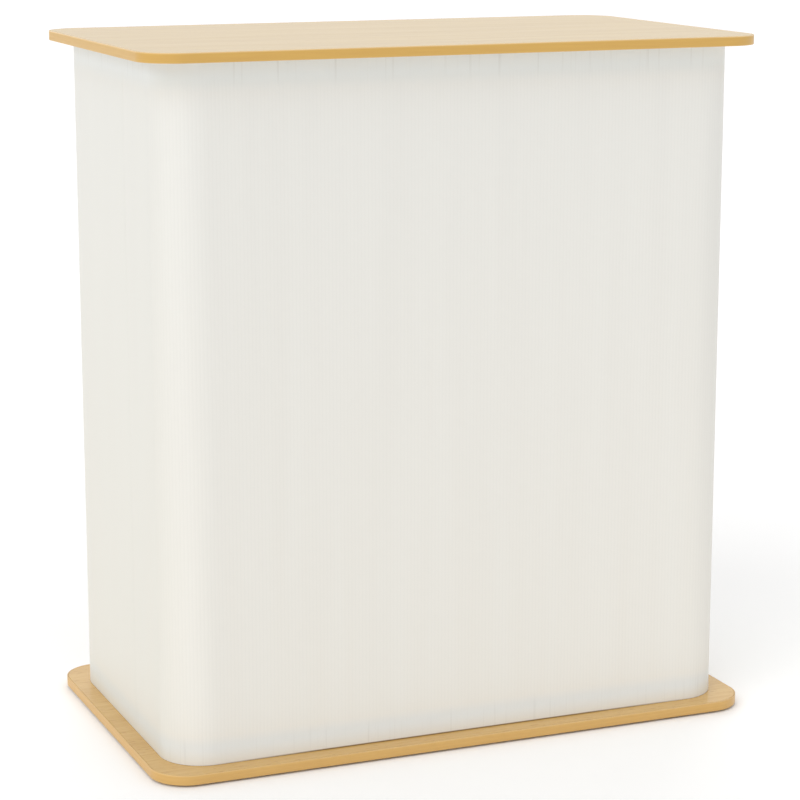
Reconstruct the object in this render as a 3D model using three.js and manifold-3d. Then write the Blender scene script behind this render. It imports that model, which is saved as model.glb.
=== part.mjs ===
// A folding portable bar: a fluted translucent sheet on a folding frame, between a laminate top and base.
// Millimetres, +Z up, front towards -Y, origin on the floor under the middle.
// The front frame carries two wings that fold in behind it and two shelves that flip up against it.

import * as THREE from 'three';
import { mergeVertices } from 'three/addons/utils/BufferGeometryUtils.js';
import Module from 'manifold-3d';

const wasm = await Module();
wasm.setup();

// Top and base boards
const OVERALL_HEIGHT = 950;
const BOARD_WIDTH = 870;
const BOARD_DEPTH = 508;
const BOARD_THICKNESS = 13;
const BOARD_CORNER_RADIUS = 52;
const EDGE_BAND_THICKNESS = 1;

// Glides under the base
const FOOT_HEIGHT = 3;
const FOOT_RADIUS = 16;
const FOOT_INSET = 62;

// Wrapped sheet
const SIDE_OVERHANG = 25;
const FRONT_OVERHANG = 28;
const SHEET_CORNER_RADIUS = 60;
const SHEET_THICKNESS = 4;
const SEAM_FROM_FRONT = 166;
const SEAM_GAP = 0.3;
const TAPE_THICKNESS = 1.6;
const TRIM_WALL = 1;
const TRIM_LEG = 9;

// Rails and posts
const RAIL_DEPTH = 15;
const RAIL_HEIGHT = 29;
const TUBE_WALL = 1.5;
const RAIL_END_GAP = 1;
const POST_WIDTH = 20;
const FRONT_POST_SETBACK = 5;
const SPIGOT_RADIUS = 4;
const SPIGOT_REACH = 7;
const SOCKET_PLAY = 0.6;

// Shelves and their brackets
const LOWER_SHELF_TOP = 312;
const UPPER_SHELF_TOP = 612;
const SHELF_DEPTH = 240;
const SHELF_THICKNESS = 12;
const SHELF_FRONT_GAP = 1.5;
const SHELF_SIDE_GAP = 44;
const BRACKET_THICKNESS = 3;
const BRACKET_FLANGE_HEIGHT = 36;
const BRACKET_LAP = 15;
const BRACKET_FROM_REAR = 30;

// Continuous hinges
const KNUCKLE_RADIUS = 4;
const KNUCKLE_GAP = 0.4;
const PIN_RADIUS = 2;
const LEAF_WIDTH = 16;
const LEAF_THICKNESS = 2;
const WING_HINGE_INSET = 12;
const WING_HINGE_KNUCKLES = 9;
const SHELF_HINGE_INSET = 12;
const SHELF_HINGE_KNUCKLES = 7;

// Clearance and smoothness
const FIT_GAP = 0.3;
const CORNER_STEPS = 10;
const ROUND_STEPS = 10;
const FOOT_STEPS = 24;

// Heights
const baseTop = FOOT_HEIGHT + BOARD_THICKNESS;
const topUnderside = OVERALL_HEIGHT - BOARD_THICKNESS;
const frameBottom = baseTop + FIT_GAP;
const frameTop = topUnderside - FIT_GAP;
const frameHeights = [frameBottom, frameTop];
const railBottoms = { bottom: frameBottom, top: frameTop - RAIL_HEIGHT };
const postHeights = [frameBottom + RAIL_HEIGHT + FIT_GAP, frameTop - RAIL_HEIGHT - FIT_GAP];
const shelfTops = { lower: LOWER_SHELF_TOP, upper: UPPER_SHELF_TOP };

// Plan layout: each layer of the wall is an inset from the outer face of the sheet.
const halfWidth = BOARD_WIDTH / 2 - SIDE_OVERHANG;
const halfDepth = BOARD_DEPTH / 2 - FRONT_OVERHANG;
const tapeOuter = SHEET_THICKNESS + FIT_GAP;
const tapeInner = tapeOuter + TAPE_THICKNESS;
const railOuter = tapeInner + FIT_GAP;
const railInner = railOuter + RAIL_DEPTH;
const seamY = -halfDepth + SEAM_FROM_FRONT;
const frontRailY = [-(halfDepth - railOuter), -(halfDepth - railInner)];
const rearRailY = [halfDepth - railInner, halfDepth - railOuter];
const frontPostX = halfWidth - SHEET_CORNER_RADIUS - FRONT_POST_SETBACK - POST_WIDTH / 2;

// Free ends of the wings, where rail, sheet and tape turn in at the back
const railReturn = halfWidth - SHEET_CORNER_RADIUS - POST_WIDTH;
const sheetReturn = railReturn - RAIL_END_GAP;
const tapeReturn = sheetReturn + TRIM_LEG + FIT_GAP;

// Hinge axes
const wingAxisX = halfWidth - railInner - FIT_GAP - KNUCKLE_RADIUS;
const wingHingeLength = postHeights[1] - postHeights[0] - 2 * WING_HINGE_INSET;
const wingHingeZ = (postHeights[0] + postHeights[1]) / 2;
const shelfRailEnd = frontPostX - POST_WIDTH / 2 - FIT_GAP;
const shelfHingeLength = 2 * (shelfRailEnd - SHELF_HINGE_INSET);
const shelfAxisY = frontRailY[1] + SHELF_FRONT_GAP / 2;
const shelfAxisLift = FIT_GAP + KNUCKLE_RADIUS;

// Shelf plan, narrow enough to rise ahead of the wings as they swing in
const shelfFront = shelfAxisY + SHELF_FRONT_GAP / 2;
const shelfRear = shelfFront + SHELF_DEPTH;
const shelfHalfWidth = wingAxisX - SHELF_SIDE_GAP;
const bracketPostY = [shelfRear - BRACKET_FROM_REAR - POST_WIDTH, shelfRear - BRACKET_FROM_REAR];

const SIDES = { left: -1, right: 1 };

const FINISHES = {
  laminate: { color: 0xe7dbc4, roughness: 0.5, metalness: 0 },
  edgeBand: { color: 0xd2a968, roughness: 0.55, metalness: 0 },
  sheet: { color: 0xe6e4dc, roughness: 0.45, metalness: 0 },
  aluminium: { color: 0xb9bcbd, roughness: 0.4, metalness: 0.9 },
  tape: { color: 0xc4c5bf, roughness: 0.95, metalness: 0 },
  steel: { color: 0x9a9c9e, roughness: 0.35, metalness: 1 },
  nickel: { color: 0xc8c6c0, roughness: 0.25, metalness: 1 },
  plastic: { color: 0xe9e8e2, roughness: 0.5, metalness: 0 },
  rubber: { color: 0x2b2b2c, roughness: 0.9, metalness: 0 },
};

function toSolid(geometry) {
  geometry.deleteAttribute('normal');
  geometry.deleteAttribute('uv');
  const merged = mergeVertices(geometry, 1e-4);
  const vertProperties = new Float32Array(merged.attributes.position.array);
  const triVerts = new Uint32Array(merged.index.array);
  return new wasm.Manifold(new wasm.Mesh({ numProp: 3, vertProperties, triVerts }));
}

function toGeometry(solid) {
  const { vertProperties, triVerts } = solid.getMesh();
  const geometry = new THREE.BufferGeometry();
  geometry.setAttribute('position', new THREE.BufferAttribute(vertProperties, 3));
  geometry.setIndex(new THREE.BufferAttribute(triVerts, 1));
  geometry.computeVertexNormals();
  return geometry;
}

function join(solids) {
  return solids.reduce((whole, solid) => whole.add(solid));
}

function cut(solid, cutters) {
  return cutters.reduce((rest, cutter) => rest.subtract(cutter), solid);
}

function piece(group, name, finish, solid) {
  const mesh = new THREE.Mesh(toGeometry(solid), new THREE.MeshStandardMaterial(FINISHES[finish]));
  mesh.name = name;
  group.add(mesh);
}

// Box between two values on each axis, given in either order
function block([x0, x1], [y0, y1], [z0, z1]) {
  const geometry = new THREE.BoxGeometry(Math.abs(x1 - x0), Math.abs(y1 - y0), Math.abs(z1 - z0));
  geometry.translate((x0 + x1) / 2, (y0 + y1) / 2, (z0 + z1) / 2);
  return toSolid(geometry);
}

// Upright cylinder between two heights
function rod(radius, [x, y], [z0, z1], steps = ROUND_STEPS) {
  const geometry = new THREE.CylinderGeometry(radius, radius, z1 - z0, steps);
  geometry.rotateX(Math.PI / 2);
  geometry.translate(x, y, (z0 + z1) / 2);
  return toSolid(geometry);
}

function prism(shape, [z0, z1]) {
  const geometry = new THREE.ExtrudeGeometry(shape, { depth: z1 - z0, bevelEnabled: false });
  geometry.translate(0, 0, z0);
  return toSolid(geometry);
}

// Quarter arc in plan, from a whole number of quarter turns
function arc(centreX, centreY, radius, startQuarter) {
  const points = [];
  for (let step = 0; step <= CORNER_STEPS; step += 1) {
    const angle = (startQuarter + step / CORNER_STEPS) * Math.PI / 2;
    points.push(new THREE.Vector2(centreX + radius * Math.cos(angle), centreY + radius * Math.sin(angle)));
  }
  return points;
}

function roundedRectangle(width, depth, radius) {
  const x = width / 2 - radius;
  const y = depth / 2 - radius;
  const corners = [[x, y], [-x, y], [-x, -y], [x, -y]];
  return corners.flatMap(([centreX, centreY], quarter) => arc(centreX, centreY, radius, quarter));
}

// Lines of the wall in plan, at an inset from the outer face of the sheet
function frontLine(inset, endGap) {
  const radius = SHEET_CORNER_RADIUS - inset;
  const x = halfWidth - SHEET_CORNER_RADIUS;
  const y = -(halfDepth - SHEET_CORNER_RADIUS);
  return [
    new THREE.Vector2(-(halfWidth - inset), seamY - endGap),
    ...arc(-x, y, radius, 2),
    ...arc(x, y, radius, 3),
    new THREE.Vector2(halfWidth - inset, seamY - endGap),
  ];
}

function wingLine(side, inset, endGap, returnX) {
  const radius = SHEET_CORNER_RADIUS - inset;
  const line = [
    new THREE.Vector2(halfWidth - inset, seamY + endGap),
    ...arc(halfWidth - SHEET_CORNER_RADIUS, halfDepth - SHEET_CORNER_RADIUS, radius, 0),
    new THREE.Vector2(returnX, halfDepth - inset),
  ];
  return line.map((point) => new THREE.Vector2(side * point.x, point.y));
}

function strip(lineAt, outerInset, innerInset, heights) {
  return prism(new THREE.Shape([...lineAt(outerInset), ...lineAt(innerInset).reverse()]), heights);
}

// Bent rectangular tube that follows the wall, open at both ends
function bentRail(lineAt, boreAt, bottom) {
  const bar = strip(lineAt, railOuter, railInner, [bottom, bottom + RAIL_HEIGHT]);
  const boreHeights = [bottom + TUBE_WALL, bottom + RAIL_HEIGHT - TUBE_WALL];
  return bar.subtract(strip(boreAt, railOuter + TUBE_WALL, railInner - TUBE_WALL, boreHeights));
}

// Straight rectangular tube, open at both ends; its ranges on each axis are low to high
function tube(ranges, axis) {
  const bore = ranges.map(([low, high], index) => {
    const step = index === axis ? -TUBE_WALL : TUBE_WALL;
    return [low + step, high - step];
  });
  return block(...ranges).subtract(block(...bore));
}

function mirrored(side, [near, far]) {
  return side < 0 ? [-far, -near] : [near, far];
}

const sideRailX = [halfWidth - railInner, halfWidth - railOuter];

function sidePost(side, along) {
  return tube([mirrored(side, sideRailX), along, postHeights], 2);
}

// Front post with a hollow spigot at each end, which goes through the rail into the board's socket
const spigotY = (frontRailY[0] + frontRailY[1]) / 2;
const spigotSpots = Object.values(SIDES).map((side) => [side * frontPostX, spigotY]);

function frontPost([x, y]) {
  const body = block([x - POST_WIDTH / 2, x + POST_WIDTH / 2], frontRailY, postHeights);
  const spigot = rod(SPIGOT_RADIUS, [x, y], [frameBottom - SPIGOT_REACH, frameTop + SPIGOT_REACH]);
  const bodyBore = block(
    [x - POST_WIDTH / 2 + TUBE_WALL, x + POST_WIDTH / 2 - TUBE_WALL],
    [frontRailY[0] + TUBE_WALL, frontRailY[1] - TUBE_WALL],
    [postHeights[0] + TUBE_WALL, postHeights[1] - TUBE_WALL],
  );
  const spigotBore = rod(SPIGOT_RADIUS - TUBE_WALL, [x, y], [0, OVERALL_HEIGHT]);
  return cut(body.add(spigot), [bodyBore, spigotBore]);
}

function spigotHoles(radius, heights) {
  return spigotSpots.map((spot) => rod(radius, spot, heights));
}

// Leaf of a continuous hinge about local Z: it lies on the -X side and reaches towards +Y or -Y.
// Its knuckles are every second one, from the first on a fixed leaf and from the second on a moving one.
function hingeLeaf(length, count, direction, moving) {
  const face = [-KNUCKLE_RADIUS, -KNUCKLE_RADIUS + LEAF_THICKNESS];
  const root = direction * (KNUCKLE_RADIUS + KNUCKLE_GAP);
  const solids = [block(face, [root, direction * LEAF_WIDTH], [-length / 2, length / 2])];
  const pitch = length / count;
  for (let index = moving ? 1 : 0; index < count; index += 2) {
    const low = -length / 2 + index * pitch + KNUCKLE_GAP / 2;
    const heights = [low, low + pitch - KNUCKLE_GAP];
    solids.push(rod(KNUCKLE_RADIUS, [0, 0], heights), block(face, [0, root], heights));
  }
  return join(solids).subtract(rod(PIN_RADIUS + FIT_GAP, [0, 0], [-length, length]));
}

// Hinge frames: a group at the middle of each axis, with local Z along it.
// The right side is the left one turned half round, so a leaf's direction changes sign there.
function wingHinge(side) {
  const group = new THREE.Group();
  group.position.set(side * wingAxisX, seamY, wingHingeZ);
  group.rotation.z = side < 0 ? 0 : Math.PI;
  return group;
}

function shelfHinge(shelfTop) {
  const group = new THREE.Group();
  group.position.set(0, shelfAxisY, shelfTop + shelfAxisLift);
  group.rotation.y = -Math.PI / 2;
  return group;
}

function wingLeaf(direction, moving) {
  return hingeLeaf(wingHingeLength, WING_HINGE_KNUCKLES, direction, moving);
}

function shelfLeaf(direction, moving) {
  return hingeLeaf(shelfHingeLength, SHELF_HINGE_KNUCKLES, direction, moving);
}

function hingePin(length) {
  return rod(PIN_RADIUS, [0, 0], [-length / 2, length / 2]);
}

// Board with an edge band all round and the sockets for the front posts
function makeBoard(name, bottom, sockets) {
  const group = new THREE.Group();
  const heights = [bottom, bottom + BOARD_THICKNESS];
  const outline = (inset) => {
    const width = BOARD_WIDTH - 2 * inset;
    const depth = BOARD_DEPTH - 2 * inset;
    return roundedRectangle(width, depth, BOARD_CORNER_RADIUS - inset);
  };
  const core = prism(new THREE.Shape(outline(EDGE_BAND_THICKNESS + FIT_GAP)), heights);
  piece(group, `${name}_board`, 'laminate', cut(core, sockets));
  const band = new THREE.Shape(outline(0));
  band.holes.push(new THREE.Path(outline(EDGE_BAND_THICKNESS)));
  piece(group, `${name}_edge_band`, 'edgeBand', prism(band, heights));
  return group;
}

const socketRadius = SPIGOT_RADIUS + SOCKET_PLAY;
const socketDepth = SPIGOT_REACH + SOCKET_PLAY;

function makeBase() {
  const sockets = spigotHoles(socketRadius, [baseTop - socketDepth, frameBottom]);
  const group = makeBoard('base', FOOT_HEIGHT, sockets);
  const footX = BOARD_WIDTH / 2 - FOOT_INSET;
  const footY = BOARD_DEPTH / 2 - FOOT_INSET;
  for (const [name, side] of Object.entries(SIDES)) {
    for (const [row, y] of [['front', -footY], ['rear', footY]]) {
      const foot = rod(FOOT_RADIUS, [side * footX, y], [0, FOOT_HEIGHT - FIT_GAP], FOOT_STEPS);
      piece(group, `${row}_${name}_foot`, 'rubber', foot);
    }
  }
  return group;
}

function makeTop() {
  const sockets = spigotHoles(socketRadius, [frameTop, topUnderside + socketDepth]);
  return makeBoard('top', topUnderside, sockets);
}

function makeFrontFrame() {
  const group = new THREE.Group();
  const railLine = (inset) => frontLine(inset, RAIL_END_GAP);
  const boreLine = (inset) => frontLine(inset, -RAIL_END_GAP);
  const sheetLine = (inset) => frontLine(inset, SEAM_GAP / 2);
  const railHoles = spigotHoles(SPIGOT_RADIUS + FIT_GAP, [0, OVERALL_HEIGHT]);
  for (const [level, bottom] of Object.entries(railBottoms)) {
    piece(group, `front_${level}_rail`, 'aluminium', cut(bentRail(railLine, boreLine, bottom), railHoles));
    const tape = strip(railLine, tapeOuter, tapeInner, [bottom, bottom + RAIL_HEIGHT]);
    piece(group, `front_${level}_hook_tape`, 'tape', tape);
  }
  piece(group, 'front_sheet', 'sheet', strip(sheetLine, 0, SHEET_THICKNESS, frameHeights));

  for (const [index, [name, side]] of Object.entries(SIDES).entries()) {
    piece(group, `front_${name}_post`, 'aluminium', frontPost(spigotSpots[index]));
    const along = [seamY - RAIL_END_GAP - POST_WIDTH, seamY - RAIL_END_GAP];
    piece(group, `front_${name}_hinge_post`, 'aluminium', sidePost(side, along));
    const hinge = wingHinge(side);
    piece(hinge, `${name}_hinge_frame_leaf`, 'nickel', wingLeaf(side, false));
    piece(hinge, `${name}_hinge_pin`, 'steel', hingePin(wingHingeLength));
    group.add(hinge);
  }

  for (const [level, top] of Object.entries(shelfTops)) {
    const rail = tube([[-shelfRailEnd, shelfRailEnd], frontRailY, [top - RAIL_HEIGHT, top]], 0);
    piece(group, `${level}_shelf_rail`, 'aluminium', rail);
    const hinge = shelfHinge(top);
    piece(hinge, `${level}_shelf_rail_leaf`, 'nickel', shelfLeaf(-1, false));
    piece(hinge, `${level}_shelf_hinge_pin`, 'steel', hingePin(shelfHingeLength));
    group.add(hinge);
  }
  return group;
}

// U-shaped trim on the rear edge of a wing's sheet
function edgeTrim(side) {
  const across = [sheetReturn - FIT_GAP - TRIM_WALL, sheetReturn + TRIM_LEG];
  const slotAcross = [sheetReturn - FIT_GAP, sheetReturn + 2 * TRIM_LEG];
  const slotY = [halfDepth - SHEET_THICKNESS - FIT_GAP, halfDepth + FIT_GAP];
  const outerY = [slotY[0] - TRIM_WALL, slotY[1] + TRIM_WALL];
  const body = block(mirrored(side, across), outerY, frameHeights);
  return body.subtract(block(mirrored(side, slotAcross), slotY, [0, OVERALL_HEIGHT]));
}

// Shelf bracket: a flange on the bracket post and a tongue that reaches under the shelf's end
function bracket(side, shelfTop) {
  const top = shelfTop - SHELF_THICKNESS - FIT_GAP;
  const flangeX = sideRailX[0] - FIT_GAP;
  const flange = block(
    mirrored(side, [flangeX - BRACKET_THICKNESS, flangeX]),
    bracketPostY,
    [top - BRACKET_FLANGE_HEIGHT, top],
  );
  const tongue = block(
    mirrored(side, [shelfHalfWidth - BRACKET_LAP, flangeX]),
    bracketPostY,
    [top - BRACKET_THICKNESS, top],
  );
  return flange.add(tongue);
}

function makeWing(name, side) {
  const group = new THREE.Group();
  const railLine = (inset) => wingLine(side, inset, RAIL_END_GAP, railReturn);
  const boreLine = (inset) => wingLine(side, inset, -RAIL_END_GAP, railReturn - RAIL_END_GAP);
  const sheetLine = (inset) => wingLine(side, inset, SEAM_GAP / 2, sheetReturn);
  const tapeLine = (inset) => wingLine(side, inset, RAIL_END_GAP, tapeReturn);
  for (const [level, bottom] of Object.entries(railBottoms)) {
    piece(group, `${name}_${level}_rail`, 'aluminium', bentRail(railLine, boreLine, bottom));
    const tape = strip(tapeLine, tapeOuter, tapeInner, [bottom, bottom + RAIL_HEIGHT]);
    piece(group, `${name}_${level}_hook_tape`, 'tape', tape);
  }
  piece(group, `${name}_sheet`, 'sheet', strip(sheetLine, 0, SHEET_THICKNESS, frameHeights));
  piece(group, `${name}_edge_trim`, 'plastic', edgeTrim(side));

  const hingePostY = [seamY + RAIL_END_GAP, seamY + RAIL_END_GAP + POST_WIDTH];
  piece(group, `${name}_hinge_post`, 'aluminium', sidePost(side, hingePostY));
  piece(group, `${name}_bracket_post`, 'aluminium', sidePost(side, bracketPostY));
  const rearPostX = mirrored(side, [railReturn, railReturn + POST_WIDTH]);
  piece(group, `${name}_rear_post`, 'aluminium', tube([rearPostX, rearRailY, postHeights], 2));
  for (const [level, top] of Object.entries(shelfTops)) {
    piece(group, `${name}_${level}_shelf_bracket`, 'steel', bracket(side, top));
  }
  const hinge = wingHinge(side);
  piece(hinge, `${name}_hinge_wing_leaf`, 'nickel', wingLeaf(-side, true));
  group.add(hinge);
  return group;
}

function makeShelf(level, top) {
  const group = new THREE.Group();
  const heights = [top - SHELF_THICKNESS, top];
  const across = [-shelfHalfWidth, shelfHalfWidth];
  const boardRear = shelfRear - EDGE_BAND_THICKNESS - FIT_GAP;
  piece(group, `${level}_shelf_board`, 'laminate', block(across, [shelfFront, boardRear], heights));
  const bandY = [shelfRear - EDGE_BAND_THICKNESS, shelfRear];
  piece(group, `${level}_shelf_edge_band`, 'edgeBand', block(across, bandY, heights));
  const hinge = shelfHinge(top);
  piece(hinge, `${level}_shelf_board_leaf`, 'nickel', shelfLeaf(1, true));
  group.add(hinge);
  return group;
}

const bar = new THREE.Group();
bar.add(makeBase());
bar.add(makeFrontFrame());
for (const [name, side] of Object.entries(SIDES)) {
  bar.add(makeWing(name, side));
}
for (const [level, top] of Object.entries(shelfTops)) {
  bar.add(makeShelf(level, top));
}
bar.add(makeTop());

export default bar;
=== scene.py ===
# %% [markdown]
# # A folding portable bar, dressed for the studio
# The bar is a pale fluted sheet wrapped round a folding frame, with a wood-look board above and below.
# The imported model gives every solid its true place. This lesson keeps the straight tubes and flat boards
# as they are, rebuilds what is bent, rolled or rounded with finer curves, and gives each surface its
# finish.

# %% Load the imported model
import math

import bmesh
import bpy
from mathutils import Matrix, Vector


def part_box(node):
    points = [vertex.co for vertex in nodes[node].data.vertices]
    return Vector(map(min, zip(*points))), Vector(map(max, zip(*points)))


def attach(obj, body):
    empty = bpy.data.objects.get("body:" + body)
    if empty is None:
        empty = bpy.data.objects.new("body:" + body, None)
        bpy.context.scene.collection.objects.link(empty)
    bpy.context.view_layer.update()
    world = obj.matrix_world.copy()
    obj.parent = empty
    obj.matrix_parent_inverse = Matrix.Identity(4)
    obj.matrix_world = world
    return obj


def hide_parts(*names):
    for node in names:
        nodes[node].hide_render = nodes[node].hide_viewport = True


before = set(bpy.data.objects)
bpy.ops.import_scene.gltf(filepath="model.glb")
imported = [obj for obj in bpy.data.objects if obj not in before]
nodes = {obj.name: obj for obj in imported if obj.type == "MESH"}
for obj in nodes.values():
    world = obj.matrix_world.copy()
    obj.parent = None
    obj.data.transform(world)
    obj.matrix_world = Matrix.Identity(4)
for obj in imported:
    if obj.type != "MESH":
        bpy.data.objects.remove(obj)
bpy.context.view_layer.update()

# %% [markdown]
# ## The camera
# A product photographer stands a little to the left and above the counter with a long lens, so that the
# front, the left side and a sliver of the top show. The place was fitted to the edges of the boards. The
# lens isn't shifted: a shifted one would keep the uprights exactly parallel, but it would push the object
# out of every other view.

# %% Place the camera
CAMERA_PLACE = Vector((-1.3405, -3.2511, 1.1846))
CAMERA_AIM = Vector((0.0037, 0.0, 0.4337))
SENSOR_WIDTH = 36
FOCAL_LENGTH = 114.47
SIGHT_LIMIT = 200
scene = bpy.context.scene
scene.camera = bpy.data.objects.new("camera", bpy.data.cameras.new("camera"))
scene.collection.objects.link(scene.camera)
scene.camera.data.sensor_width = SENSOR_WIDTH
scene.camera.data.lens = FOCAL_LENGTH
scene.camera.data.clip_end = SIGHT_LIMIT
scene.camera.location = CAMERA_PLACE
scene.camera.rotation_euler = (CAMERA_AIM - CAMERA_PLACE).to_track_quat("-Z", "Y").to_euler()
scene.view_settings.view_transform = "Standard"
print("camera distance in metres:", round((CAMERA_AIM - CAMERA_PLACE).length, 3))

# %% [markdown]
# ## Small tools for materials
# A material is a small graph. Each step of it is one node with some settings and some links, so one
# function adds a node of any kind. Four kinds come back in every finish, and each has a function of its
# own: noise that is stretched to a size in millimetres, a remap from one range of numbers to another, a
# blend of two colours, and a relief that tilts the surface. Nearly all of a noise lies between 0.3 and
# 0.7, so a remap that needs its full contrast starts from that span. Colours are written as the hex
# values that a picture editor shows, and one function turns them to the linear numbers that the renderer
# needs.

# %% Add nodes and read colours
MM = 0.001
NOISE_SPAN = (0.3, 0.7)


def linear(code):
    channels = [int(code[place:place + 2], 16) / 255 for place in (0, 2, 4)]
    return [c / 12.92 if c <= 0.04045 else ((c + 0.055) / 1.055) ** 2.4 for c in channels] + [1]


def add_node(tree, kind, settings, links=None):
    node = tree.nodes.new(kind)
    for key, value in settings.items():
        if isinstance(key, int) or key in node.inputs:
            node.inputs[key].default_value = value
        else:
            setattr(node, key, value)
    for key, socket in (links or {}).items():
        tree.links.new(socket, node.inputs[key])
    return node


def object_place(tree):
    return add_node(tree, "ShaderNodeTexCoord", {}).outputs["Object"]


def noise(tree, place, size, **settings):
    scale = [1 / (length * MM) for length in size]
    stretched = add_node(tree, "ShaderNodeMapping", {"Scale": scale}, {"Vector": place}).outputs[0]
    return add_node(tree, "ShaderNodeTexNoise", {"Scale": 1, **settings}, {"Vector": stretched}).outputs[0]


def remap(tree, value, low, high, to_low=0, to_high=1, **settings):
    settings.update({"From Min": low, "From Max": high, "To Min": to_low, "To Max": to_high})
    return add_node(tree, "ShaderNodeMapRange", settings, {"Value": value}).outputs[0]


def blend(tree, share, first, second, blend_type="MIX"):
    settings = {"data_type": "RGBA", "blend_type": blend_type}
    links = {}
    for socket, value in ((0, share), (6, first), (7, second)):
        if isinstance(value, bpy.types.NodeSocket):
            links[socket] = value
        else:
            settings[socket] = linear(value) if isinstance(value, str) else value
    return add_node(tree, "ShaderNodeMix", settings, links).outputs[2]


def relief(tree, height, strength, depth):
    settings = {"Strength": strength, "Distance": depth * MM}
    return add_node(tree, "ShaderNodeBump", settings, {"Height": height}).outputs[0]


def new_material(name, **settings):
    material = bpy.data.materials.new(name)
    material.use_nodes = True
    tree = material.node_tree
    shader = tree.nodes["Principled BSDF"]
    for key, value in settings.items():
        shader.inputs[key.replace("_", " ")].default_value = value
    return material, tree, shader


def connect(tree, shader, colour, roughness, normal):
    for key, socket in (("Base Color", colour), ("Roughness", roughness), ("Normal", normal)):
        tree.links.new(socket, shader.inputs[key])


print("sheet white in linear light:", [round(c, 3) for c in linear("E6E4DC")])

# %% [markdown]
# ## The studio
# A plain white floor runs past the horizon, a white sky lights all sides alike, and one large soft light
# stands at the left, a little to the front. It makes the left corner glow and the right edge fall off.
# Another one from behind reaches the shelves; it is hidden from reflections, so that it leaves no glare
# on the top. Sun lamps with a wide angle do this evenly over the whole floor, which area lamps near the
# object wouldn't. Seen directly or in a reflection, the sky is a pure white backdrop, so that a low view
# shows no horizon and the top mirrors white.

# %% Light the studio
WHITE = (1, 1, 1, 1)
SKY_STRENGTH = 0.78
LAMP_DEGREES = 50
LAMPS = {
    "key_light": (0.95, Vector((-0.66, -0.40, 0.64))),
    "shelf_light": (1.0, Vector((0.3, 0.87, 0.38))),
}
FLOOR_REACH = 60

scene.world = bpy.data.worlds.new("white_studio")
scene.world.use_nodes = True
sky = scene.world.node_tree
sky_light = sky.nodes["Background"]
sky_light.inputs["Color"].default_value = WHITE
sky_light.inputs["Strength"].default_value = SKY_STRENGTH
backdrop = add_node(sky, "ShaderNodeBackground", {"Color": WHITE, "Strength": 1})
lighting = add_node(sky, "ShaderNodeLightPath", {}).outputs["Is Diffuse Ray"]
sky_or_backdrop = add_node(sky, "ShaderNodeMixShader", {},
                           {0: lighting, 1: backdrop.outputs[0], 2: sky_light.outputs[0]})
sky.links.new(sky_or_backdrop.outputs[0], sky.nodes["World Output"].inputs["Surface"])
for name, (strength, source) in LAMPS.items():
    lamp = bpy.data.objects.new(name, bpy.data.lights.new(name, "SUN"))
    lamp.data.energy = strength
    lamp.data.angle = math.radians(LAMP_DEGREES)
    lamp.rotation_euler = source.to_track_quat("Z", "Y").to_euler()
    lamp.visible_glossy = name == "key_light"
    scene.collection.objects.link(lamp)

floor_mesh = bpy.data.meshes.new("floor")
bm = bmesh.new()
bmesh.ops.create_grid(bm, x_segments=1, y_segments=1, size=FLOOR_REACH)
bm.to_mesh(floor_mesh)
bm.free()
floor = bpy.data.objects.new("floor", floor_mesh)
scene.collection.objects.link(floor)
floor_paint, _, _ = new_material("white_floor", Base_Color=linear("FFFFFF"), Roughness=0.7)
floor_mesh.materials.append(floor_paint)
print("floor side in metres:", floor.dimensions.x)

# %% [markdown]
# ## Wood-look melamine for the boards and shelves
# The boards are fibreboard faced with a printed beech paper under clear melamine resin. The eye sees long
# streaks along the board, short dark flecks, slow changes of tone, and a satin gloss that turns pale at a
# low angle. Noise that is stretched along X gives the streaks: their length and width in millimetres set
# the stretch. The fine streaks are drawn about twice as wide as on real paper, so that they show in the
# render. The top's print is quieter and a little greyer than that of the base and the shelves; part of
# this difference is painted light, for the top is lit more fully than the base in the wrap's shade.

# %% Beech melamine
BROAD_SIZE = (700, 55, 55)
STREAK_SIZE = (160, 4, 4)
FLECK_SIZE = (14, 2.2, 2.2)


def melamine_finish(name, streak_codes, broad_codes, fleck_code):
    material, tree, shader = new_material(name, IOR=1.5)
    place = object_place(tree)
    broad = noise(tree, place, BROAD_SIZE, Detail=3, Roughness=0.55)
    streak = noise(tree, place, STREAK_SIZE, Detail=4, Roughness=0.6, Distortion=0.3)
    fleck = noise(tree, place, FLECK_SIZE, Detail=2, Roughness=0.5)
    streak_tone = blend(tree, remap(tree, streak, *NOISE_SPAN), *streak_codes)
    broad_tone = blend(tree, remap(tree, broad, *NOISE_SPAN), *broad_codes)
    wood = blend(tree, 0.5, streak_tone, broad_tone)
    flecked = blend(tree, remap(tree, fleck, 0.62, 0.72, 0, 0.55), wood, fleck_code)
    gloss = remap(tree, streak, 0, 1, 0.2, 0.28)
    connect(tree, shader, flecked, gloss, relief(tree, streak, 0.12, 0.15))
    return material


melamine = melamine_finish("beech_print_melamine", ("C29551", "D7B26E"), ("C79F5A", "DAB775"), "A8783F")
# The top's copy of the print is toned partly for the fuller light on the top: painted light.
top_melamine = melamine_finish("beech_print_melamine_top", ("BF9B57", "CBAD69"), ("C3A460", "CFB270"),
                               "B08A50")
print("made", melamine.name, "and", top_melamine.name)

# %% [markdown]
# ## Plastic edge band
# A band of golden ABS, about a millimetre thick, is glued round each board and its two arrises are
# scraped round. Both arrises are painted paler than the flat of the band, a painted highlight where the
# rounded edge catches the light. The top's band has a darker flat and a brighter upper arris than the
# base's; this too is painted light, for the top is lit more fully. Fine lines run along the band. The
# height within the board, from its lower to its upper face, says where the arrises are.

# %% ABS band
LINE_SIZE = (90, 90, 1.6)
FLAT_FROM, FLAT_TO = 0.1, 0.86


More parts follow.
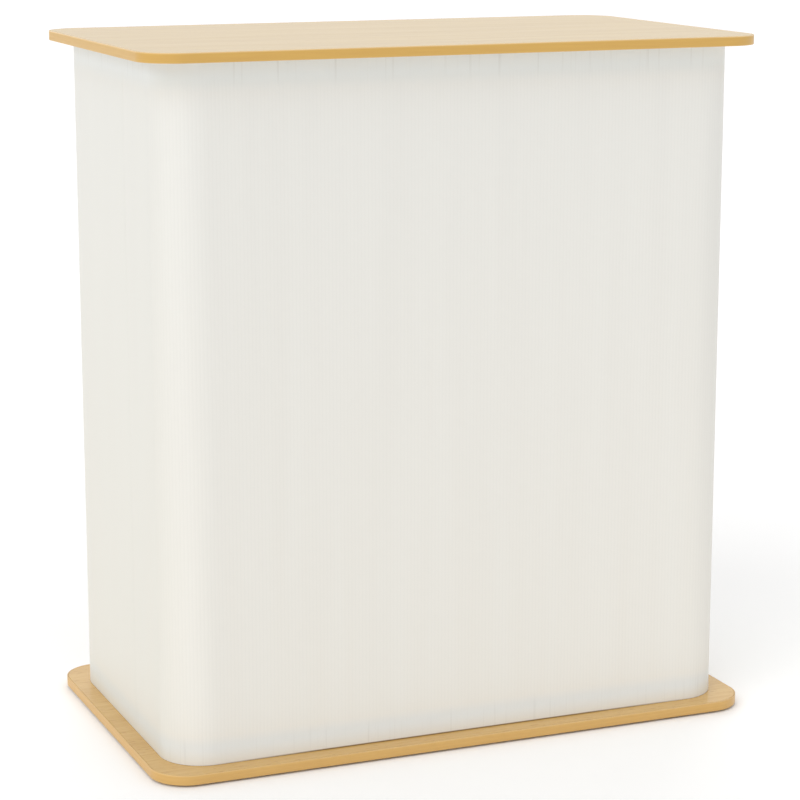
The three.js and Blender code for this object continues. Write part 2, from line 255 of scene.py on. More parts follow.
def edge_band_finish(name, low, high, flat_code, arris_highlight_code):
    material, tree, shader = new_material(name, IOR=1.52)
    place = object_place(tree)
    height = add_node(tree, "ShaderNodeSeparateXYZ", {}, {"Vector": place}).outputs[2]
    tone = add_node(tree, "ShaderNodeValToRGB", {}, {"Fac": remap(tree, height, low, high)})
    ramp = tone.color_ramp
    # Both arrises are painted paler than the flat: a painted highlight.
    ramp.elements[0].color = linear("DDB676")
    ramp.elements[1].color = linear(arris_highlight_code)
    for position in (FLAT_FROM, FLAT_TO):
        ramp.elements.new(position).color = linear(flat_code)
    lines = noise(tree, place, LINE_SIZE, Detail=3)
    colour = blend(tree, remap(tree, lines, *NOISE_SPAN, 0, 0.3), tone.outputs[0], "BF8F4B")
    gloss = remap(tree, lines, 0, 1, 0.3, 0.42)
    connect(tree, shader, colour, gloss, relief(tree, lines, 0.2, 0.1))
    return material


band_finish = {}
for board in ("top", "base", "lower_shelf", "upper_shelf"):
    low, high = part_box(f"{board}_edge_band")
    # The top's band is painted brighter at the arris and darker on the flat than the base's: painted light.
    tones = ("CFA552", "F0D29C") if board == "top" else ("D3A961", "DDBB7F")
    band_finish[board] = edge_band_finish(f"abs_edge_band_{board}", low.z, high.z, *tones)
print("bands finished:", len(band_finish))

# %% [markdown]
# ## Fluted polypropylene for the wrap
# The wrap is a twin-wall sheet: two thin skins of milky polypropylene with ribs between them, all
# upright. The ribs give faint lines and the skins a soft gloss. The sheet renders opaque, so the shade of
# the rails behind it is painted: a greyer strip along the top and the bottom, where the ribs are painted
# as fine ticks. The sides are painted a shade greyer than the front; this is painted shade too. The
# pattern has to follow the sheet round its corners, so it reads a UV map in metres: the length round the
# wall, from the middle of the front, and the height. Ribs stand about 5 mm apart.

# %% Fluted sheet
RIB_PITCH = 5 * MM
RAIL_SHADE_HEIGHT = 29 * MM
RAIL_SHADE_FADE = (0.63 * RAIL_SHADE_HEIGHT, 1.47 * RAIL_SHADE_HEIGHT)
JOINT_SHADOW_HEIGHT = 1.3 * MM
CORNER_RADIUS = 60 * MM
CLOUD_SIZE = (38, 900, 1000)
TICK_SIZE = (6, 300, 1000)
wall_low, wall_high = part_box("front_sheet")
corner_x = wall_high.x - CORNER_RADIUS
quarter_bend = CORNER_RADIUS * math.pi / 2
fluted, tree, shader = new_material("fluted_polypropylene", IOR=1.49)
unrolled = add_node(tree, "ShaderNodeUVMap", {"uv_map": "unrolled"}).outputs[0]
split = add_node(tree, "ShaderNodeSeparateXYZ", {}, {"Vector": unrolled})
around, upward = split.outputs[0], split.outputs[1]
from_middle = add_node(tree, "ShaderNodeMath", {"operation": "ABSOLUTE"}, {0: around}).outputs[0]
body_share = remap(tree, upward, wall_low.z, wall_high.z)

per_metre = 2 * math.pi / RIB_PITCH
rib_turn = add_node(tree, "ShaderNodeMath", {"operation": "MULTIPLY", 1: per_metre}, {0: around})
rib = add_node(tree, "ShaderNodeMath", {"operation": "SINE"}, {0: rib_turn.outputs[0]}).outputs[0]
cloud = noise(tree, unrolled, CLOUD_SIZE, Detail=3, Roughness=0.5)
tick = noise(tree, unrolled, TICK_SIZE, Detail=2, Roughness=0.6)
white = blend(tree, body_share, "E6E2D9", "E1E0DB")
clouded = blend(tree, remap(tree, cloud, *NOISE_SPAN, 0, 0.3), white, "E9E8E2")
ribbed = blend(tree, remap(tree, rib, 0.2, 1, 0, 0.1), clouded, "CFCFC8")

# Painted shade: where a rail stands behind the sheet, the skins are painted greyer, with a soft upper and
# lower limit; towards the cut rims these strips are painted paler again, a painted light that offsets the
# shade under the top's overhang and above the base
near, far = RAIL_SHADE_FADE
low_rail_shade = remap(tree, upward, wall_low.z + near, wall_low.z + far, 1, 0, interpolation_type="SMOOTHSTEP")
high_rail_shade = remap(tree, upward, wall_high.z - far, wall_high.z - near, interpolation_type="SMOOTHSTEP")
# Painted light: the strips turn paler towards the cut rims.
low_rim_light = remap(tree, upward, wall_low.z + RAIL_SHADE_HEIGHT, wall_low.z)
high_rim_light = remap(tree, upward, wall_high.z - RAIL_SHADE_HEIGHT, wall_high.z)
low_shaded = blend(tree, low_rail_shade, ribbed, blend(tree, low_rim_light, "DFE2E1", "ECECE8"))
# Painted shade: the sides are painted a shade greyer than the front, more towards the bottom.
side_from, side_to = corner_x + 0.2 * quarter_bend, corner_x + 1.1 * quarter_bend
side_shade_share = remap(tree, from_middle, side_from, side_to, interpolation_type="SMOOTHSTEP")
side_shade_tone = blend(tree, body_share, "F3F3F0", "F9F9F8")
side_shaded = blend(tree, side_shade_share, low_shaded, side_shade_tone, "MULTIPLY")
high_shaded = blend(tree, high_rail_shade, side_shaded, blend(tree, high_rim_light, "DFE2E0", "EDF1F2"))
# The ribs are painted as fine ticks only within the painted rail shade.
tick_share = remap(tree, tick, 0.57, 0.72, 0, 0.18)
rail_shade_strips = add_node(tree, "ShaderNodeMath", {"operation": "ADD"}, {0: low_rail_shade, 1: high_rail_shade}).outputs[0]
tick_here = add_node(tree, "ShaderNodeMath", {"operation": "MULTIPLY"}, {0: tick_share, 1: rail_shade_strips}).outputs[0]
ticked = blend(tree, tick_here, high_shaded, "B7B6B0")

# A dark line of painted shadow lies along the foot of the front, in the joint with the base, and fades
# towards the corners
joint_shadow_line = remap(tree, upward, wall_low.z + 1.5 * JOINT_SHADOW_HEIGHT, wall_low.z + 0.5 * JOINT_SHADOW_HEIGHT)
fade_from, fade_to = 0.55 * corner_x, 1.1 * corner_x
joint_shadow_here = add_node(tree, "ShaderNodeMapRange", {"From Min": fade_from, "From Max": fade_to, "To Max": 0},
                      {"Value": from_middle, "To Min": joint_shadow_line}).outputs[0]
sheet_colour = blend(tree, joint_shadow_here, ticked, "8F7650")
connect(tree, shader, sheet_colour, remap(tree, cloud, 0, 1, 0.36, 0.5), relief(tree, rib, 0.12, 0.12))
print("ribs across the front:", round((wall_high.x - wall_low.x) / RIB_PITCH))

# %% [markdown]
# ## Metals
# The tubes are anodised aluminium: drawn through a die, which leaves fine lines along the tube, then
# etched to a dull silver. Rails lie flat and posts stand, so the lines run level on one and upright on
# the other, and the same function makes both by a different stretch. The hinges are nickel-plated steel,
# brighter and warmer. Pins, brackets and screws are zinc-plated steel, with the faint patches that zinc
# crystals leave.

# %% Anodised, nickel-plated and zinc-plated
PATCH_SIZE = (45, 45, 45)


def metal_finish(name, code, dark_code, roughness, grain, depth):
    material, tree, shader = new_material(name, Metallic=1.0)
    place = object_place(tree)
    lines = noise(tree, place, grain, Detail=4, Roughness=0.6)
    patch = noise(tree, place, PATCH_SIZE, Detail=3)
    worn = add_node(tree, "ShaderNodeMath", {"operation": "MULTIPLY"}, {0: lines, 1: patch}).outputs[0]
    share = remap(tree, worn, 0.12, 0.42)
    gloss = remap(tree, share, 0, 1, roughness + 0.1, roughness - 0.06)
    connect(tree, shader, blend(tree, share, dark_code, code), gloss, relief(tree, lines, 0.3, depth))
    return material


aluminium = ("E6E8E8", "D3D6D7", 0.42)
level_aluminium = metal_finish("anodised_aluminium_level", *aluminium, (120, 120, 1.2), 0.04)
upright_aluminium = metal_finish("anodised_aluminium_upright", *aluminium, (1.2, 1.2, 120), 0.04)
nickel = metal_finish("nickel_plated_steel", "EBE9E4", "DEDBD5", 0.46, (9, 9, 40), 0.005)
zinc = metal_finish("zinc_plated_steel", "E2E5E7", "CDD1D4", 0.42, (3, 3, 3), 0.01)
print("metals made:", [m.name for m in (level_aluminium, upright_aluminium, nickel, zinc)])

# %% [markdown]
# ## Hook tape, moulded trim and rubber
# The sheet hangs on the rails by woven nylon hook tape, which is dull and fuzzy. Its hooks stand about
# 1.5 mm apart; cells of that size stand for them. The edge trims and the rail caps are white moulded
# polypropylene, with the slight ripple of a mould. The glides are black rubber, matt and dusty.

# %% Tape, trim and rubber
WEAR_SIZE = (30, 30, 30)


def moulded_finish(name, code, worn_code, roughness, cell, depth, **settings):
    material, tree, shader = new_material(name, **settings)
    place = object_place(tree)
    cells = add_node(tree, "ShaderNodeTexVoronoi", {"Scale": 1 / (cell * MM)}, {"Vector": place})
    share = remap(tree, noise(tree, place, WEAR_SIZE, Detail=4), 0.35, 0.7)
    gloss = remap(tree, share, 0, 1, roughness - 0.05, roughness + 0.08)
    connect(tree, shader, blend(tree, share, code, worn_code), gloss,
            relief(tree, cells.outputs["Distance"], 0.5, depth))
    return material


hook_tape = moulded_finish("nylon_hook_tape", "CFCFC9", "BDBDB6", 0.85, 1.5, 0.6, Sheen_Weight=0.3)
white_trim = moulded_finish("moulded_polypropylene", "E9E8E2", "DDDCD5", 0.45, 2.5, 0.03, IOR=1.49)
black_rubber = moulded_finish("black_rubber", "2B2B2C", "3A3936", 0.8, 1.2, 0.1, IOR=1.52)
print("mouldings made:", [m.name for m in (hook_tape, white_trim, black_rubber)])

# %% [markdown]
# ## Keep the straight pieces
# Boards, posts, shelf rails, shelf bands, tapes, trims, pins and glides already have their true shape.
# They keep their CAD mesh and get a small rounded edge, because no real edge is perfectly sharp and only
# a rounded one catches the light. The mesh is loose triangles, so a Weld joins them and a planar Decimate
# turns them back into flat faces before the Bevel.

# %% Finish the kept nodes
WELD_REACH = 0.005 * MM
FLAT_DEGREES = 0.5


def keep(node, finish, edge, limit=40):
    kept = nodes[node]
    kept.data.materials.clear()
    kept.data.materials.append(finish)
    weld = kept.modifiers.new("weld", "WELD")
    weld.merge_threshold = WELD_REACH
    flat = kept.modifiers.new("flat_faces", "DECIMATE")
    flat.decimate_type = "DISSOLVE"
    flat.angle_limit = math.radians(FLAT_DEGREES)
    rounding = kept.modifiers.new("rounding", "BEVEL")
    rounding.width = edge * MM
    rounding.segments = 2
    rounding.limit_method = "ANGLE"
    rounding.angle_limit = math.radians(limit)


keep("top_board", top_melamine, 0.25)
for node in ("base_board", "lower_shelf_board", "upper_shelf_board"):
    keep(node, melamine, 0.25)
for board in ("lower_shelf", "upper_shelf"):
    keep(f"{board}_edge_band", band_finish[board], 0.35)
    keep(f"{board}_rail", level_aluminium, 0.6)
    keep(f"{board}_hinge_pin", zinc, 0.2, 60)
for side in ("left", "right"):
    for post in (f"front_{side}_post", f"front_{side}_hinge_post", f"{side}_hinge_post",
                 f"{side}_bracket_post", f"{side}_rear_post"):
        keep(post, upright_aluminium, 0.6)
    keep(f"{side}_edge_trim", white_trim, 0.35)
    keep(f"{side}_hinge_pin", zinc, 0.2, 60)
    for row in ("front", "rear"):
        keep(f"{row}_{side}_foot", black_rubber, 0.8)
for part in ("front", "left", "right"):
    for level in ("bottom", "top"):
        keep(f"{part}_{level}_hook_tape", hook_tape, 0.2)
print("kept nodes:", sum(1 for n in nodes.values() if n.modifiers))

# %% [markdown]
# ## Hand a mesh over as a piece
# Every new piece goes through the same last step: its mesh becomes an object at the origin, its faces
# shade smoothly except across real corners, it gets its finish, and it rides on the body that carries it.
# It also says which CAD nodes it stands for. Two steps of the shaping come back in several pieces as
# well: a bevel that rounds edges off, and a turn of the faces to the outside. A last function tells which
# edges stand upright.

# %% Finish a piece
CORNER_DEGREES = 35
TOUCH = 0.1 * MM


def hand_over(bm, name, body, finish, stands_for=()):
    mesh = bpy.data.meshes.new(name)
    bm.to_mesh(mesh)
    bm.free()
    mesh.shade_smooth()
    mesh.set_sharp_from_angle(angle=math.radians(CORNER_DEGREES))
    mesh.materials.append(finish)
    piece = bpy.data.objects.new(name, mesh)
    scene.collection.objects.link(piece)
    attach(piece, body)
    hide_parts(*stands_for)
    print(name, "faces:", len(mesh.polygons))


def round_off(bm, geom, radius, segments, affect="EDGES"):
    bmesh.ops.bevel(bm, geom=geom, offset=radius, segments=segments, profile=0.5, affect=affect, material=-1)


def face_outwards(bm, towards):
    bmesh.ops.recalc_face_normals(bm, faces=bm.faces)
    widest = max(bm.faces, key=lambda f: f.calc_area())
    if widest.normal.dot(towards) < 0:
        bmesh.ops.reverse_faces(bm, faces=bm.faces)


def stands_upright(edge, least=MM):
    return abs(edge.verts[0].co.z - edge.verts[1].co.z) > least


# %% [markdown]
# ## Edge bands of the top and the base
# A band is a strip bent round the board. A cube whose four upright edges are bevelled to the corner
# radius has the right outline; without its two lids it is the strip's outer face, which Solidify thickens
# inwards. A second, small bevel scrapes the arrises round.

# %% Bend the bands
BOARD_RADIUS = 52 * MM
BAND_THICKNESS = 1 * MM
BAND_STEPS = 32
ARRIS_RADIUS = 0.45 * MM
ARRIS_STEPS = 3
ARRIS_RADIANS = 1

for board in ("top", "base"):
    low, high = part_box(f"{board}_edge_band")
    bm = bmesh.new()
    bmesh.ops.create_cube(bm, size=1)
    bmesh.ops.scale(bm, verts=bm.verts, vec=high - low)
    bmesh.ops.translate(bm, verts=bm.verts, vec=(low + high) / 2)
    round_off(bm, [e for e in bm.edges if stands_upright(e)], BOARD_RADIUS, BAND_STEPS)
    lids = [f for f in bm.faces if abs(f.normal.z) > 0.5]
    bmesh.ops.delete(bm, geom=lids, context="FACES_ONLY")
    bmesh.ops.recalc_face_normals(bm, faces=bm.faces)
    bmesh.ops.solidify(bm, geom=bm.faces[:], thickness=BAND_THICKNESS)
    arrises = [e for e in bm.edges if e.is_manifold and e.calc_face_angle() > ARRIS_RADIANS]
    round_off(bm, arrises, ARRIS_RADIUS, ARRIS_STEPS)
    hand_over(bm, f"{board}_bent_edge_band", board, band_finish[board], [f"{board}_edge_band"])

# %% [markdown]
# ## Sweep along the wall
# Sheet and rails follow the same line in plan: straight runs with a quarter bend at each rounded corner.
# Two steps make any of them from a cross-section: an extrude for a straight run and a spin about the
# corner's centre for a bend. The cross-section of the sheet is one upright edge; that of a rail is a
# rounded rectangle.

# %% Runs and bends
BEND_STEPS = 19
front_corner_y = wall_low.y + CORNER_RADIUS
rear_corner_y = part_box("left_sheet")[1].y - CORNER_RADIUS


def run(bm, edges, vector):
    made = bmesh.ops.extrude_edge_only(bm, edges=edges)["geom"]
    moved = {v for v in made if isinstance(v, bmesh.types.BMVert)}
    bmesh.ops.translate(bm, verts=list(moved), vec=vector)
    return [e for e in made if isinstance(e, bmesh.types.BMEdge) and moved.issuperset(e.verts)]


def spin(bm, edges, centre, axis, degrees, steps):
    ends = list(dict.fromkeys(v for e in edges for v in e.verts))
    spun = bmesh.ops.spin(bm, geom=ends + edges, cent=centre, axis=axis, dvec=(0, 0, 0),
                          angle=math.radians(degrees), steps=steps, use_merge=False)
    return [e for e in spun["geom_last"] if isinstance(e, bmesh.types.BMEdge)]


def bend(bm, edges, x, y, degrees):
    return spin(bm, edges, (x, y, 0), (0, 0, 1), degrees, BEND_STEPS)


def sweep_front(bm, edges, seam_y):
    edges = run(bm, edges, (0, front_corner_y - seam_y, 0))
    edges = bend(bm, edges, -corner_x, front_corner_y, 90)
    edges = run(bm, edges, (2 * corner_x, 0, 0))
    edges = bend(bm, edges, corner_x, front_corner_y, 90)
    run(bm, edges, (0, seam_y - front_corner_y, 0))


def sweep_wing(bm, edges, hand, seam_y, return_x):
    edges = run(bm, edges, (0, rear_corner_y - seam_y, 0))
    edges = bend(bm, edges, hand * corner_x, rear_corner_y, hand * 90)
    run(bm, edges, (hand * (return_x - corner_x), 0, 0))


print("corner centres:", round(corner_x, 4), round(front_corner_y, 4), round(rear_corner_y, 4))

# %% [markdown]
# ## The wrapped sheet
# One upright edge, swept along the outer face of the wall, gives the skin; thickness goes inwards. The UV
# map unrolls it: across the front the length is X, round a corner it is the arc, and along a side it is
# Y, so ribs keep their spacing everywhere and meet at the seams. A twin-wall sheet that is cut across its
# ribs shows a row of open cells, which are seen when the top comes off. So the straight runs are cut into
# steps of one rib, as the bends are, and each small face of the rim is inset by the skin's thickness and
# pushed in.

# %% Wrap the sheets
SHEET_THICKNESS = 4 * MM
SKIN_THICKNESS = 0.4 * MM
CELL_DEPTH = 14 * MM
HAND_OF = {"left": -1, "right": 1}


def length_round(point):
    x = abs(point.x)
    side_length = rear_corner_y - front_corner_y
    if point.y < front_corner_y:
        turn = math.atan2(max(x - corner_x, 0), front_corner_y - point.y)
        length = min(x, corner_x) + CORNER_RADIUS * turn
    elif point.y <= rear_corner_y:
        length = corner_x + quarter_bend + point.y - front_corner_y
    else:
        turn = math.atan2(point.y - rear_corner_y, max(x - corner_x, 0))
        length = corner_x + quarter_bend + side_length + CORNER_RADIUS * turn + max(corner_x - x, 0)
    return math.copysign(length, point.x)


def unroll(bm):
    layer = bm.loops.layers.uv.new("unrolled")
    for face in bm.faces:
        for loop in face.loops:
            loop[layer].uv = (length_round(loop.vert.co), loop.vert.co.z)


def upright_edge(bm, x, y):
    ends = [bm.verts.new((x, y, z)) for z in (wall_low.z, wall_high.z)]
    return [bm.edges.new(ends)]


def thicken_fluted(bm):
    level = [e for e in bm.edges if not stands_upright(e)]
    for cells in sorted({round(e.calc_length() / RIB_PITCH) for e in level}):
        if cells > 1:
            same = [e for e in level if e.is_valid and round(e.calc_length() / RIB_PITCH) == cells]
            bmesh.ops.subdivide_edges(bm, edges=same, cuts=cells - 1, use_grid_fill=True)
    bmesh.ops.solidify(bm, geom=bm.faces[:], thickness=SHEET_THICKNESS)
    rim = [f for f in bm.faces if abs(f.normal.z) > 0.9]
    bmesh.ops.inset_individual(bm, faces=rim, thickness=SKIN_THICKNESS, use_even_offset=True)
    for cell in bmesh.ops.extrude_discrete_faces(bm, faces=rim)["faces"]:
        bmesh.ops.translate(bm, verts=cell.verts, vec=-CELL_DEPTH * cell.normal)
    print("open flute cells:", len(rim))


def inner_x(low, high):
    return min(abs(low.x), abs(high.x))


bm = bmesh.new()
sweep_front(bm, upright_edge(bm, wall_low.x, wall_high.y), wall_high.y)
face_outwards(bm, Vector((0, -1, 0)))
thicken_fluted(bm)
unroll(bm)
hand_over(bm, "front_wrap", "front_frame", fluted, ["front_sheet"])
for side, hand in HAND_OF.items():
    low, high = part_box(f"{side}_sheet")
    bm = bmesh.new()
    sweep_wing(bm, upright_edge(bm, hand * wall_high.x, low.y), hand, low.y, inner_x(low, high))
    face_outwards(bm, Vector((hand, 0, 0)))
    thicken_fluted(bm)
    unroll(bm)
    hand_over(bm, f"{side}_wrap", f"{side}_wing", fluted, [f"{side}_sheet"])

# %% [markdown]
# ## The bent rails
# A rail is a rectangular aluminium tube with slightly rounded corners, bent to the plan of the wall. Its
# cross-section starts as a grid of one face; a vertex bevel rounds the corners, and the face is deleted
# to leave the loop of edges that the sweep carries. Solidify then gives the tube its wall.

# %% Bend the rails
TUBE_WALL = 1.5 * MM
TUBE_ROUNDING = 2 * MM
TUBE_STEPS = 4
BODY_OF = {"front": "front_frame", "left": "left_wing", "right": "right_wing"}
rail_low, rail_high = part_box("front_bottom_rail")
post_low, post_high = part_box("left_rear_post")
rail_height = rail_high.z - rail_low.z
rail_depth = post_high.y - post_low.y
rail_middle_x = rail_high.x - rail_depth / 2


def tube_section(bm, centre):
    bmesh.ops.create_grid(bm, x_segments=1, y_segments=1, size=0.5)
    bmesh.ops.scale(bm, verts=bm.verts, vec=(rail_depth, rail_height, 1))
    round_off(bm, bm.verts[:], TUBE_ROUNDING, TUBE_STEPS, "VERTICES")
    bmesh.ops.delete(bm, geom=bm.faces[:], context="FACES_ONLY")
    bmesh.ops.rotate(bm, verts=bm.verts, matrix=Matrix.Rotation(math.pi / 2, 3, "X"))
    bmesh.ops.translate(bm, verts=bm.verts, vec=centre)
    return bm.edges[:]


for part, body in BODY_OF.items():
    for level in ("bottom", "top"):
        node = f"{part}_{level}_rail"
        low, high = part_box(node)
        z = (low.z + high.z) / 2
        bm = bmesh.new()
        if part == "front":
            sweep_front(bm, tube_section(bm, Vector((-rail_middle_x, high.y, z))), high.y)
        else:
            hand = HAND_OF[part]
            section = tube_section(bm, Vector((hand * rail_middle_x, low.y, z)))
            sweep_wing(bm, section, hand, low.y, inner_x(low, high))
        bmesh.ops.recalc_face_normals(bm, faces=bm.faces)
        bmesh.ops.solidify(bm, geom=bm.faces[:], thickness=TUBE_WALL)
        hand_over(bm, f"{part}_{level}_bent_rail", body, level_aluminium, [node])

# %% [markdown]
# ## Rail caps
# Each open rail end is closed by a moulded cap: a thin lid that matches the tube, with a shallow dish in
# it, and a plug that grips the bore. The lid is a cube with rounded edges; an inset and a push make the
# dish, and the plug is extruded from the other side. A small part like this is made at the origin, facing
# up, and then turned, moved and added to the mesh of its piece.

# %% Press in the caps
CAP_LID = 0.7 * MM
CAP_PLUG = 9 * MM
DISH_RIM = 1.6 * MM
DISH_DEPTH = 0.3 * MM
PLUG_PLAY = 0.2 * MM
UP = Vector((0, 0, 1))


def add_part(bm, part_bm, spot, turn):
    bmesh.ops.transform(part_bm, verts=part_bm.verts, matrix=Matrix.Translation(spot) @ turn)
    part_mesh = bpy.data.meshes.new("small_part")
    part_bm.to_mesh(part_mesh)
    part_bm.free()
    bm.from_mesh(part_mesh)
    bpy.data.meshes.remove(part_mesh)


def turn_to(outward):
    return UP.rotation_difference(outward).to_matrix().to_4x4()


def add_cap(bm, mouth, outward):
    cap = bmesh.new()
    bmesh.ops.create_cube(cap, size=1)
    bmesh.ops.scale(cap, verts=cap.verts, vec=(rail_depth, rail_height, CAP_LID))
    bmesh.ops.translate(cap, verts=cap.verts, vec=(0, 0, CAP_LID / 2))
    round_off(cap, [e for e in cap.edges if stands_upright(e, TOUCH)], TUBE_ROUNDING, TUBE_STEPS)
    lid = max(cap.faces, key=lambda f: f.normal.z)
    seat = min(cap.faces, key=lambda f: f.normal.z)
    bmesh.ops.inset_individual(cap, faces=[lid], thickness=DISH_RIM, depth=-DISH_DEPTH)
    bmesh.ops.inset_individual(cap, faces=[seat], thickness=TUBE_WALL + PLUG_PLAY)
    plug = bmesh.ops.extrude_discrete_faces(cap, faces=[seat])["faces"]
    bmesh.ops.translate(cap, verts=plug[0].verts, vec=(0, 0, -CAP_PLUG))
    turn = turn_to(outward)
    if abs(outward.x) > 0.5:
        turn = turn @ Matrix.Rotation(math.pi / 2, 4, "Z")
    add_part(bm, cap, mouth, turn)


rear_rail_y = (post_low.y + post_high.y) / 2
for part, body in BODY_OF.items():
    bm = bmesh.new()
    for level in ("bottom", "top"):
        low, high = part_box(f"{part}_{level}_rail")
        z = (low.z + high.z) / 2
        if part == "front":
            for hand in HAND_OF.values():
                add_cap(bm, Vector((hand * rail_middle_x, high.y, z)), Vector((0, 1, 0)))
        else:
            hand = HAND_OF[part]
            add_cap(bm, Vector((hand * rail_middle_x, low.y, z)), Vector((0, -1, 0)))
            add_cap(bm, Vector((hand * inner_x(low, high), rear_rail_y, z)), Vector((-hand, 0, 0)))
    hand_over(bm, f"{part}_rail_caps", body, white_trim)

# %% [markdown]
# ## Screws
# Hinges and brackets are held by small zinc-plated screws with a cross recess. A low cone is the head.
# Its top is inset, every fourth corner of that face stays out while the rest pull in, which makes a
# cross, and the cross is pushed down. There are many, so each has only a few dozen faces.

# %% Turn a screw
SCREW_RADIUS = 2.6 * MM
SCREW_PROUD = 0.7 * MM
SCREW_SIDES = 16
CROWN_SHARE = 0.7
RIM_SHARE = 0.12
CROSS_PULL = 0.45
RECESS_SHARE = 0.5


def add_screw(bm, spot, outward):
    head = bmesh.new()
    bmesh.ops.create_cone(head, cap_ends=True, segments=SCREW_SIDES, radius1=SCREW_RADIUS,
                          radius2=SCREW_RADIUS * CROWN_SHARE, depth=SCREW_PROUD)
    bmesh.ops.translate(head, verts=head.verts, vec=(0, 0, SCREW_PROUD / 2))
    crown = max(head.faces, key=lambda f: f.calc_center_median().z)
    bmesh.ops.inset_individual(head, faces=[crown], thickness=SCREW_RADIUS * RIM_SHARE)
    for index, corner in enumerate(crown.verts):
        pull = 1 if index % 4 == 0 else CROSS_PULL
        corner.co.x *= pull
        corner.co.y *= pull
    recess = bmesh.ops.extrude_discrete_faces(head, faces=[crown])["faces"]
    bmesh.ops.translate(head, verts=recess[0].verts, vec=(0, 0, -RECESS_SHARE * SCREW_PROUD))
    add_part(bm, head, spot, turn_to(outward))


print("screw head in millimetres:", 2000 * SCREW_RADIUS)

# %% [markdown]
# ## Continuous hinges
# A continuous hinge is strip steel rolled round a long pin: each leaf has every second knuckle. One long
# edge, split at the knuckle ends, is extruded across the leaf; only this leaf's own parts of it go on and
# are spun round the pin. Solidify gives the strip its thickness, inwards, so the pin keeps its bore. Each
# leaf has as many screws as its hinge has knuckles. Everything is made along Z at the origin and then
# placed on the CAD axis. The shelf hinges lie down: the same leaves, turned so that their length runs
# along X.

# %% Roll the hinge leaves
KNUCKLE_RADIUS = 4 * MM
KNUCKLE_GAP = 0.4 * MM
LEAF_WIDTH = 16 * MM
LEAF_THICKNESS = 1.6 * MM
SCREW_FROM_PIN = 10.5 * MM
ROLL_DEGREES = 280
ROLL_STEPS = 18
WING_KNUCKLES = 9
SHELF_KNUCKLES = 7


def roll_leaf(length, knuckles, direction, moving):
    bm = bmesh.new()
    screws = bmesh.new()
    pitch = length / knuckles
    marks = {-length / 2, length / 2}
    own = []
    for index in range(knuckles):
        low = -length / 2 + index * pitch + KNUCKLE_GAP / 2
        high = low + pitch - KNUCKLE_GAP
        marks.update((low, high))
        if index % 2 == int(moving):
            own.append((low, high))
        middle = (index + 0.5) * pitch - length / 2
        spot = Vector((-KNUCKLE_RADIUS + LEAF_THICKNESS, direction * SCREW_FROM_PIN, middle))
        add_screw(screws, spot, Vector((1, 0, 0)))
    line = [bm.verts.new((-KNUCKLE_RADIUS, direction * LEAF_WIDTH, z)) for z in sorted(marks)]
    edges = [bm.edges.new(pair) for pair in zip(line, line[1:])]
    root = direction * (KNUCKLE_RADIUS + KNUCKLE_GAP)
    edges = run(bm, edges, (0, root - direction * LEAF_WIDTH, 0))
    middles = [(sum(v.co.z for v in e.verts) / 2, e) for e in edges]
    edges = [e for middle, e in middles if any(low < middle < high for low, high in own)]
    edges = run(bm, edges, (0, -root, 0))
    spin(bm, edges, (0, 0, 0), (0, 0, 1), direction * ROLL_DEGREES, ROLL_STEPS)
    face_outwards(bm, Vector((-1, 0, 0)))
    bmesh.ops.solidify(bm, geom=bm.faces[:], thickness=LEAF_THICKNESS)
    return bm, screws


def hang_hinge(pin, turn, knuckles, leaves):
    low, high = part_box(pin)
    matrix = Matrix.Translation((low + high) / 2) @ turn
    for node, body, direction, moving in leaves:
        leaf, screws = roll_leaf(max(high - low), knuckles, direction, moving)
        for bm in (leaf, screws):
            bmesh.ops.transform(bm, verts=bm.verts, matrix=matrix)
        hand_over(leaf, f"{node}_rolled", body, nickel, [node])
        hand_over(screws, f"{node}_screws", body, zinc)


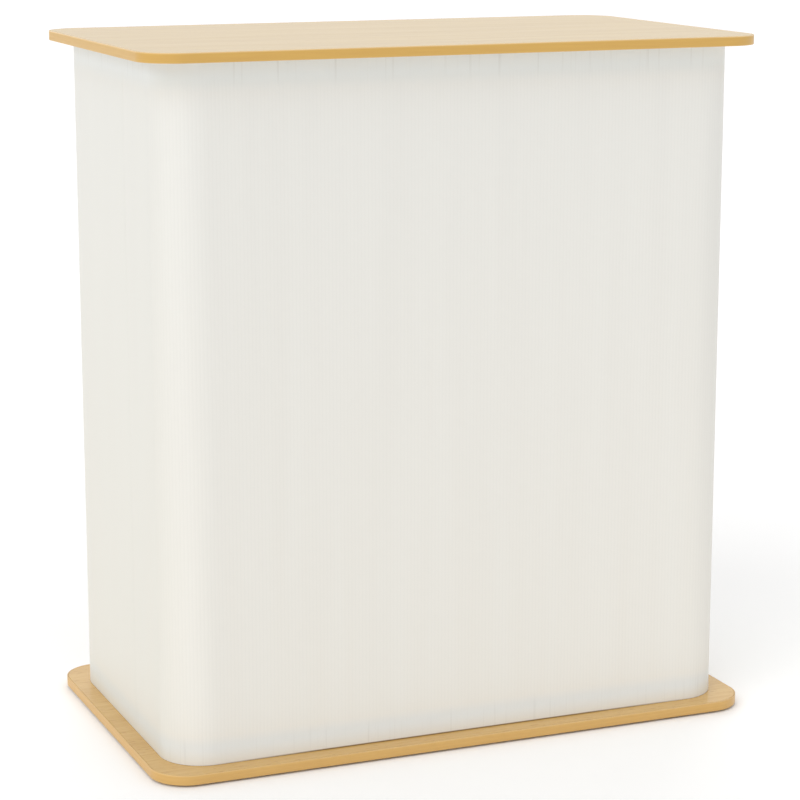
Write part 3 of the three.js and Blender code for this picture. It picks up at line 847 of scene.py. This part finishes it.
for side, hand in HAND_OF.items():
    turn = Matrix.Rotation(0 if hand < 0 else math.pi, 4, "Z")
    hang_hinge(f"{side}_hinge_pin", turn, WING_KNUCKLES,
               ((f"{side}_hinge_frame_leaf", "front_frame", hand, False),
                (f"{side}_hinge_wing_leaf", f"{side}_wing", -hand, True)))
for level in ("lower", "upper"):
    turn = Matrix.Rotation(-math.pi / 2, 4, "Y")
    hang_hinge(f"{level}_shelf_hinge_pin", turn, SHELF_KNUCKLES,
               ((f"{level}_shelf_rail_leaf", "front_frame", -1, False),
                (f"{level}_shelf_board_leaf", f"{level}_shelf", 1, True)))

# %% [markdown]
# ## Shelf brackets
# A bracket is strip steel folded to an angle: an edge as wide as the strip is run up the post, spun
# through the fold and run out under the shelf. The tongue's two free corners are rounded by a bevel after
# the strip has its thickness. Two screws hold the flange to the post.

# %% Fold the brackets
BRACKET_THICKNESS = 3 * MM
FOLD_RADIUS = 6 * MM
FOLD_STEPS = 8
TONGUE_ROUNDING = 6 * MM
TONGUE_STEPS = 6
SCREW_DROPS = (14 * MM, 28 * MM)

for side, hand in HAND_OF.items():
    for level in ("lower", "upper"):
        node = f"{side}_{level}_shelf_bracket"
        low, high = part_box(node)
        wall_x = hand * max(abs(low.x), abs(high.x))
        tip_x = hand * inner_x(low, high)
        bm = bmesh.new()
        ends = [bm.verts.new((wall_x, y, low.z)) for y in (low.y, high.y)]
        edges = run(bm, [bm.edges.new(ends)], (0, 0, high.z - low.z - FOLD_RADIUS))
        centre = (wall_x - hand * FOLD_RADIUS, 0, high.z - FOLD_RADIUS)
        edges = spin(bm, edges, centre, (0, 1, 0), -hand * 90, FOLD_STEPS)
        run(bm, edges, (tip_x - wall_x + hand * FOLD_RADIUS, 0, 0))
        face_outwards(bm, Vector((hand, 0, 1)))
        bmesh.ops.solidify(bm, geom=bm.faces[:], thickness=BRACKET_THICKNESS)
        corners = [e for e in bm.edges if stands_upright(e)
                   and all(abs(v.co.x - tip_x) < TOUCH for v in e.verts)]
        round_off(bm, corners, TONGUE_ROUNDING, TONGUE_STEPS)
        hand_over(bm, f"{node}_folded", f"{side}_wing", zinc, [node])
        screws = bmesh.new()
        for drop in SCREW_DROPS:
            spot = Vector((wall_x - hand * BRACKET_THICKNESS, (low.y + high.y) / 2, high.z - drop))
            add_screw(screws, spot, Vector((-hand, 0, 0)))
        hand_over(screws, f"{node}_screws", f"{side}_wing", zinc)
